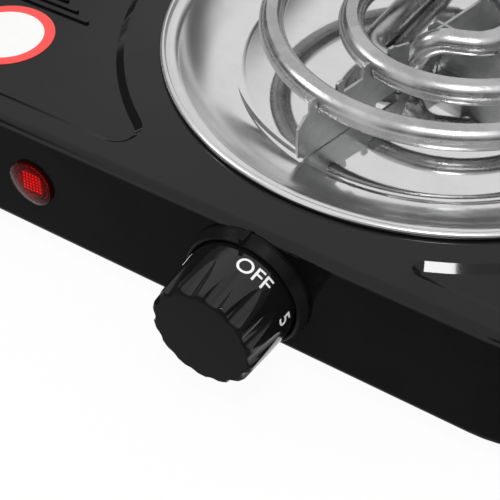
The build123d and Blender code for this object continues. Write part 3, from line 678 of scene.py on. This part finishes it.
# Lettering
def lettering_mesh(name, words, height, depth):
    """Flat solid lettering, centred, with short edges so that it can be bent round a knob."""
    text = bpy.data.curves.new(name, "FONT")
    text.body = words
    text.align_x = "CENTER"
    text.align_y = "CENTER"
    text.size = height / CAPITAL_SHARE
    text.extrude = depth / 2
    text.offset = STROKE_SHARE * height
    holder = add_object(name, text)
    mesh = settled_mesh(holder)
    bpy.data.objects.remove(holder)
    work = bmesh.new()
    work.from_mesh(mesh)
    bmesh.ops.remove_doubles(work, verts=work.verts, dist=LETTER_WELD)
    bmesh.ops.triangulate(work, faces=work.faces)
    for _ in range(LETTER_PASSES):
        long = [edge for edge in work.edges if edge.calc_length() > LETTER_EDGE]
        if long:
            bmesh.ops.subdivide_edges(work, edges=long, cuts=1, use_grid_fill=False)
            bmesh.ops.triangulate(work, faces=work.faces)
    bmesh.ops.recalc_face_normals(work, faces=work.faces)
    work.to_mesh(mesh)
    work.free()
    return mesh


def wrap_on_knob(mesh, centre, angle, out, surface):
    """Bend flat lettering round a knob: its top towards the body, reading clockwise."""
    for vertex in mesh.vertices:
        across, up, proud = vertex.co
        reach = out - up
        radius = surface(reach) + proud
        turn = math.radians(angle) - across / surface(reach)
        vertex.co = (
            centre.x + radius * math.cos(turn),
            FRONT - reach,
            centre.z + radius * math.sin(turn),
        )


class BodyLook(bpy.types.PropertyGroup):
    enamel: bpy.props.FloatVectorProperty(
        name="Enamel", description="Colour of the housing",
        subtype="COLOR", default=(0.004, 0.004, 0.0043))
    enamel_roughness: bpy.props.FloatProperty(
        name="Enamel roughness", description="Gloss of the housing", default=0.09, min=0.0, max=1.0)
    enamel_specular: bpy.props.FloatProperty(
        name="Enamel reflection", description="Strength of the enamel's reflection",
        default=0.02, min=0.0, max=1.0)
    top_gloss: bpy.props.FloatProperty(
        name="Top gloss", description="Gloss coat on the top plate", default=0.60, min=0.0, max=1.0)
    wall_gloss: bpy.props.FloatProperty(
        name="Wall gloss", description="Gloss coat on the side walls", default=0.01, min=0.0, max=1.0)
    film: bpy.props.FloatVectorProperty(
        name="Sticker film", description="Colour of the blank film",
        subtype="COLOR", default=(0.90, 0.90, 0.885))
    ring: bpy.props.FloatVectorProperty(
        name="Sticker ring", description="Colour of the printed ring",
        subtype="COLOR", default=(0.95, 0.088, 0.08))
    ring_share: bpy.props.FloatProperty(
        name="Ring start", description="Inner edge of the ring over the film's radius",
        default=0.78, min=0.1, max=1.0)


class BurnerLook(bpy.types.PropertyGroup):
    pan: bpy.props.FloatVectorProperty(
        name="Pan", description="Colour of the polished pans",
        subtype="COLOR", default=(0.72, 0.72, 0.72))
    pan_roughness: bpy.props.FloatProperty(
        name="Pan roughness", description="Gloss of the pans", default=0.05, min=0.0, max=1.0)
    wall_roughness: bpy.props.FloatProperty(
        name="Wall roughness", description="What the wall adds to the pan's roughness",
        default=0.17, min=0.0, max=1.0)
    wall_blend: bpy.props.FloatProperty(
        name="Wall blend", description="Width over which the wall gets duller",
        default=6.0 * MM, unit="LENGTH")
    sheath: bpy.props.FloatVectorProperty(
        name="Element", description="Colour of the element's sheath",
        subtype="COLOR", default=(0.46, 0.46, 0.465))
    sheath_roughness: bpy.props.FloatProperty(
        name="Element roughness", description="Gloss of the sheath", default=0.24, min=0.0, max=1.0)
    sheet: bpy.props.FloatProperty(
        name="Pan sheet", description="Thickness of the pan", default=0.8 * MM, unit="LENGTH")
    groove_radius: bpy.props.FloatProperty(
        name="Groove radius", description="Middle of the groove in the floor",
        default=68.0 * MM, unit="LENGTH")
    groove_half: bpy.props.FloatProperty(
        name="Groove half width", description="Half the groove's width", default=2.0 * MM, unit="LENGTH")
    groove_depth: bpy.props.FloatProperty(
        name="Groove depth", description="Depth of the groove", default=0.32 * MM, unit="LENGTH")
    floor_rise: bpy.props.FloatProperty(
        name="Floor rise", description="Floor of the pan above its lowest point",
        default=1.4 * MM, unit="LENGTH")
    wall_foot: bpy.props.FloatProperty(
        name="Wall foot", description="Radius at which the wall starts", default=70.0 * MM, unit="LENGTH")
    wall_width: bpy.props.FloatProperty(
        name="Wall width", description="Width of the wall in plan", default=21.8 * MM, unit="LENGTH")
    wall_turn: bpy.props.FloatProperty(
        name="Wall turn", description="Share of the wall that is hollow", default=0.84, min=0.1, max=0.9)
    bead: bpy.props.FloatProperty(
        name="Rim bead", description="Radius of the rolled rim", default=1.1 * MM, unit="LENGTH")
    gate_width: bpy.props.FloatProperty(
        name="Gate width", description="Width of the gates for the legs", default=12.5 * MM, unit="LENGTH")
    gate_start: bpy.props.FloatVectorProperty(
        name="Gate start", description="Where the two gates start behind the middle", size=2,
        default=(57.5 * MM, 49.0 * MM), unit="LENGTH")
    gate_end: bpy.props.FloatProperty(
        name="Gate end", description="Radius at which the gates end", default=90.8 * MM, unit="LENGTH")
    leg_inset: bpy.props.FloatProperty(
        name="Leg inset", description="Legs from the ends of the terminal block",
        default=10.0 * MM, unit="LENGTH")
    support: bpy.props.FloatVectorProperty(
        name="Supports", description="Colour of the support strips",
        subtype="COLOR", default=(0.45, 0.455, 0.455))


class ControlLook(bpy.types.PropertyGroup):
    knob: bpy.props.FloatVectorProperty(
        name="Knob", description="Colour of the knobs and bezels",
        subtype="COLOR", default=(0.006, 0.006, 0.006))
    lettering: bpy.props.FloatVectorProperty(
        name="Lettering", description="Colour of the dial paint",
        subtype="COLOR", default=(0.92, 0.92, 0.92))
    skirt_end: bpy.props.FloatProperty(
        name="Skirt", description="Reach of the knob's straight skirt", default=7.8 * MM, unit="LENGTH")
    knob_slope: bpy.props.FloatProperty(
        name="Knob slope", description="Draft of the grip in front of the skirt", default=0.048)
    letter_height: bpy.props.FloatProperty(
        name="Letter height", description="Height of a capital", default=5.2 * MM, unit="LENGTH")
    letter_out: bpy.props.FloatProperty(
        name="Letter place", description="Middle of the lettering in front of the wall",
        default=9.6 * MM, unit="LENGTH")
    letter_depth: bpy.props.FloatProperty(
        name="Paint depth", description="Thickness of the paint", default=0.14 * MM, unit="LENGTH")
    lens: bpy.props.FloatVectorProperty(
        name="Lens", description="Colour of the pilot lamps",
        subtype="COLOR", default=(0.78, 0.010, 0.012))
    prism_side: bpy.props.FloatProperty(
        name="Prism plate", description="Side of the prism plate", default=7.0 * MM, unit="LENGTH")
    prism_count: bpy.props.IntProperty(name="Prisms", description="Prisms along one side", default=6)
    prism_height: bpy.props.FloatProperty(
        name="Prism height", description="Height of one prism", default=0.45 * MM, unit="LENGTH")


class StageLook(bpy.types.PropertyGroup):
    focal: bpy.props.FloatProperty(
        name="Focal length", description="Focal length in millimetres on a 36 mm film", default=93.6)
    eye: bpy.props.FloatVectorProperty(
        name="Eye", description="Place of the camera", subtype="TRANSLATION", unit="LENGTH",
        default=(0.26784, -0.32578, 0.31318))
    azimuth: bpy.props.FloatProperty(
        name="Azimuth", description="Camera's way round the object from the front", subtype="ANGLE",
        default=math.radians(32.562))
    elevation: bpy.props.FloatProperty(
        name="Elevation", description="Camera's height above the level", subtype="ANGLE",
        default=math.radians(44.943))
    key: bpy.props.FloatProperty(
        name="Key lamp", description="Power of the lamp above the front", default=4.4, unit="POWER")
    key_size: bpy.props.FloatProperty(
        name="Key size", description="Side of the key lamp", default=0.2, unit="LENGTH")
    key_place: bpy.props.FloatVectorProperty(
        name="Key place", description="Place of the key lamp", subtype="TRANSLATION", unit="LENGTH",
        default=(0.40, -0.43, 1.10))
    key_aim: bpy.props.FloatVectorProperty(
        name="Key aim", description="Point that the key lamp faces", subtype="TRANSLATION", unit="LENGTH",
        default=(0.15, 0.0, 0.05))
    side: bpy.props.FloatProperty(
        name="Side lamp", description="Power of the small lamp on the left", default=2.4, unit="POWER")
    side_size: bpy.props.FloatProperty(
        name="Side size", description="Side of the small lamp", default=0.15, unit="LENGTH")
    side_place: bpy.props.FloatVectorProperty(
        name="Side place", description="Place of the small lamp", subtype="TRANSLATION", unit="LENGTH",
        default=(-0.73, -0.32, 0.86))
    side_aim: bpy.props.FloatVectorProperty(
        name="Side aim", description="Point that the small lamp faces", subtype="TRANSLATION", unit="LENGTH",
        default=(0.12, -0.12, 0.05))
    fill: bpy.props.FloatProperty(name="Sky", description="Level of the studio light", default=1.0)
    floor_half: bpy.props.FloatProperty(
        name="Floor", description="Half the side of the floor", default=6.0, unit="LENGTH")
    floor_drop: bpy.props.FloatProperty(
        name="Floor drop", description="Gap below the feet", default=0.2 * MM, unit="LENGTH")
    floor_tone: bpy.props.FloatVectorProperty(
        name="Floor tone", description="Colour of the floor that lights the object",
        subtype="COLOR", default=(0.86, 0.86, 0.86))
    backdrop: bpy.props.FloatProperty(
        name="Backdrop", description="Share of plain white in the floor as the eye, metal and glass see it",
        default=0.95, min=0.0, max=1.0)


class HOTPLATE_OT_body(bpy.types.Operator):
    """Finish the pressed housing and its blank sticker"""
    bl_idname = "hotplate.body"
    bl_label = "Finish housing"

    def execute(self, context):
        look = context.scene.hotplate_body
        dress("top_housing", enamel(look))
        dress("blank_sticker", sticker_film(look))
        return {"FINISHED"}


class HOTPLATE_OT_burners(bpy.types.Operator):
    """Finish the pans, the elements and their supports"""
    bl_idname = "hotplate.burners"
    bl_label = "Finish burners"

    def execute(self, context):
        look = context.scene.hotplate_burners
        polish = polished_pan(look)
        dress_both("drip_pan", polish)
        for side in SIDES:
            mesh = spun_pan(f"{side}_spun_pan", side, look)
            pan = plain_piece(f"{side}_spun_pan", mesh, "body", polish)
            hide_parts(f"{side}_drip_pan")
        dress_both("coil", element_sheath(look))
        sheet = support_sheet(look)
        dress_both("long_support", sheet)
        dress_both("cross_support", sheet)
        dress_both("terminal_block", moulding("ceramic_block", CERAMIC, roughness=0.6, grain=1200.0))
        return {"FINISHED"}


class HOTPLATE_OT_dials(bpy.types.Operator):
    """Finish the knobs and bezels and letter the dials"""
    bl_idname = "hotplate.dials"
    bl_label = "Letter dials"

    # in degrees up from the right, as seen from the front
    marks = {"OFF": 65.0, "5": 10.0, "4": -45.0, "3": -100.0, "2": -155.0, "1": -210.0}

    def execute(self, context):
        look = context.scene.hotplate_controls
        dress_both("knob", knob_plastic(look))
        dress_both("knob_bezel", bezel_plastic(look))
        paint = dial_paint(look)

        def surface(out):
            return KNOB_RADIUS - max(0.0, out - look.skirt_end) * look.knob_slope

        for side in SIDES:
            for words, angle in self.marks.items():
                mesh = lettering_mesh(f"{side}_mark_{words}", words, look.letter_height, look.letter_depth)
                wrap_on_knob(mesh, DIAL[side], angle, look.letter_out, surface)
                plain_piece(f"{side}_dial_mark_{words}", mesh, f"{side}_dial", paint)
        return {"FINISHED"}


class HOTPLATE_OT_lamps(bpy.types.Operator):
    """Finish the lamp lenses and set the prism plates behind them"""
    bl_idname = "hotplate.lamps"
    bl_label = "Finish lamps"

    def execute(self, context):
        look = context.scene.hotplate_controls
        dress_both("lamp_lens", red_lens(look))
        dress_both("lamp_holder", moulding("white_plastic", LAMP_HOLDER, roughness=0.45, grain=900.0))
        dress_both("neon_bulb", moulding("neon_glass", NEON, roughness=0.1, grain=400.0))
        prisms = prism_red(look)
        for side in SIDES:
            tree = prism_tree(look.prism_side, look.prism_count, look.prism_height, prisms)
            mesh = tree.grow(f"{side}_prisms")
            face = Vector((LAMP[side].x, PRISM_BACK, DIAL[side].z))
            mesh.transform(Matrix.Translation(face) @ Matrix.Rotation(math.radians(90), 4, "X"))
            plain_piece(f"{side}_lamp_prisms", mesh, "body", prisms)
        return {"FINISHED"}


class HOTPLATE_OT_underside(bpy.types.Operator):
    """Finish the base plate, feet, screws, brackets, wiring and the mains entry"""
    bl_idname = "hotplate.underside"
    bl_label = "Finish underside"

    def execute(self, context):
        zinc = plain_metal("zinc_steel", ZINC, roughness=0.28, spangle=700.0)
        dress("base_plate", plain_metal("galvanised_steel", GALVANISED, roughness=0.36, spangle=130.0))
        for node in ("base_screws", "foot_screws", "strip_screws"):
            dress(node, zinc)
        for piece in ("hinge_pins", "hinge_bracket", "bracket_rivets", "thermostat_shaft", "thermostat_nut"):
            dress_both(piece, zinc)
        dress("rubber_feet", moulding("black_rubber", RUBBER, roughness=0.7, grain=1500.0))
        nylon = moulding("black_nylon", NYLON, roughness=0.42, grain=1100.0)
        dress("cord_gland", nylon)
        dress("gland_nut", nylon)
        dress("terminal_strip", moulding("strip_plastic", STRIP, roughness=0.5, grain=900.0))
        dress("wiring", sleeving("lead_sleeving", SLEEVING))
        dress_both("thermostat", moulding("control_body", CONTROL, roughness=0.45, grain=800.0))
        return {"FINISHED"}


class HOTPLATE_OT_stage(bpy.types.Operator):
    """Set the floor, the studio light and the camera"""
    bl_idname = "hotplate.stage"
    bl_label = "Set stage"

    def execute(self, context):
        look = context.scene.hotplate_stage
        scene = context.scene
        scene.view_settings.view_transform = "Standard"
        self.floor(look)
        self.sky(scene, look)
        self.lamp("key_lamp", look.key, look.key_size, look.key_place, look.key_aim)
        self.lamp("side_lamp", look.side, look.side_size, look.side_place, look.side_aim)
        self.camera(scene, look)
        return {"FINISHED"}

    def floor(self, look):
        """Matt floor, which the camera, metal and glass see as a white backdrop with a soft shadow."""
        mesh = bpy.data.meshes.new("floor")
        half = look.floor_half
        corners = [(x * half, y * half, -look.floor_drop) for x, y in ((-1, -1), (1, -1), (1, 1), (-1, 1))]
        mesh.from_pydata(corners, [], [(0, 1, 2, 3)])
        floor = add_object("floor", mesh)
        paint = bpy.data.materials.new("floor_paint")
        paint.use_nodes = True
        board = Board(paint.node_tree)
        paint.node_tree.nodes.remove(paint.node_tree.nodes["Principled BSDF"])
        ray = board.node("ShaderNodeLightPath").socket.node
        camera, glossy, through = (
            Wire(board, ray.outputs[name])
            for name in ("Is Camera Ray", "Is Glossy Ray", "Is Transmission Ray")
        )
        seen = camera.most(glossy.most(through))
        matt = board.node("ShaderNodeBsdfDiffuse", None, {"Color": colour(look.floor_tone)})
        white = board.node("ShaderNodeEmission", None, {"Color": (1, 1, 1, 1), "Strength": 1.0})
        both = board.node("ShaderNodeMixShader", None, {0: seen * look.backdrop, 1: matt, 2: white})
        board.join(both, paint.node_tree.nodes["Material Output"].inputs["Surface"])
        mesh.materials.append(paint)

    def sky(self, scene, look):
        world = bpy.data.worlds.new("studio")
        world.use_nodes = True
        scene.world = world
        board = Board(world.node_tree)
        across, _, height = board.split(board.node("ShaderNodeTexCoord", out="Generated"))
        band = board.span(abs(across - BAND_MIDDLE), BAND_HALF, BAND_END, 1.0, 0.0)
        light = world.node_tree.nodes["Background"]
        board.join(board.mix(band, board.ramp(height, SKY_STOPS), BAND_TONE), light.inputs["Color"])
        light.inputs["Strength"].default_value = look.fill

    def lamp(self, name, power, size, place, aim):
        data = bpy.data.lights.new(name, "AREA")
        data.energy = power
        data.shape = "SQUARE"
        data.size = size
        lamp = add_object(name, data)
        lamp.location = place
        lamp.rotation_euler = (Vector(aim) - Vector(place)).to_track_quat("-Z", "Y").to_euler()

    def camera(self, scene, look):
        data = bpy.data.cameras.new("photo_camera")
        data.sensor_width = FILM_WIDTH
        data.lens = look.focal
        data.clip_start = NEAREST
        camera = add_object("photo_camera", data)
        turn = Matrix.Rotation(look.azimuth, 3, "Z") @ Matrix.Rotation(math.pi / 2 - look.elevation, 3, "X")
        camera.matrix_world = Matrix.Translation(look.eye) @ turn.to_4x4()
        scene.camera = camera


class HOTPLATE_PT_panel(bpy.types.Panel):
    """Looks and steps of the hot plate"""
    bl_idname = "HOTPLATE_PT_panel"
    bl_label = "Hot plate"
    bl_space_type = "VIEW_3D"
    bl_region_type = "UI"
    bl_category = "Hot plate"

    def draw(self, context):
        for step in STEPS:
            self.layout.operator(step.bl_idname)
        for group in LOOKS:
            look = getattr(context.scene, group)
            for key in look.__annotations__:
                self.layout.prop(look, key)


LOOKS = {
    "hotplate_body": BodyLook,
    "hotplate_burners": BurnerLook,
    "hotplate_controls": ControlLook,
    "hotplate_stage": StageLook,
}
STEPS = (
    HOTPLATE_OT_body,
    HOTPLATE_OT_burners,
    HOTPLATE_OT_dials,
    HOTPLATE_OT_lamps,
    HOTPLATE_OT_underside,
    HOTPLATE_OT_stage,
)


def register():
    for kind in (*LOOKS.values(), *STEPS, HOTPLATE_PT_panel):
        bpy.utils.register_class(kind)
    for name, kind in LOOKS.items():
        setattr(bpy.types.Scene, name, bpy.props.PointerProperty(type=kind))


def unregister():
    for name in LOOKS:
        delattr(bpy.types.Scene, name)
    for kind in (HOTPLATE_PT_panel, *reversed(STEPS), *LOOKS.values()):
        bpy.utils.unregister_class(kind)


def main():
    register()
    bpy.ops.hotplate.body()
    bpy.ops.hotplate.burners()
    bpy.ops.hotplate.dials()
    bpy.ops.hotplate.lamps()
    bpy.ops.hotplate.underside()
    bpy.ops.hotplate.stage()


if __name__ == "__main__":
    main()
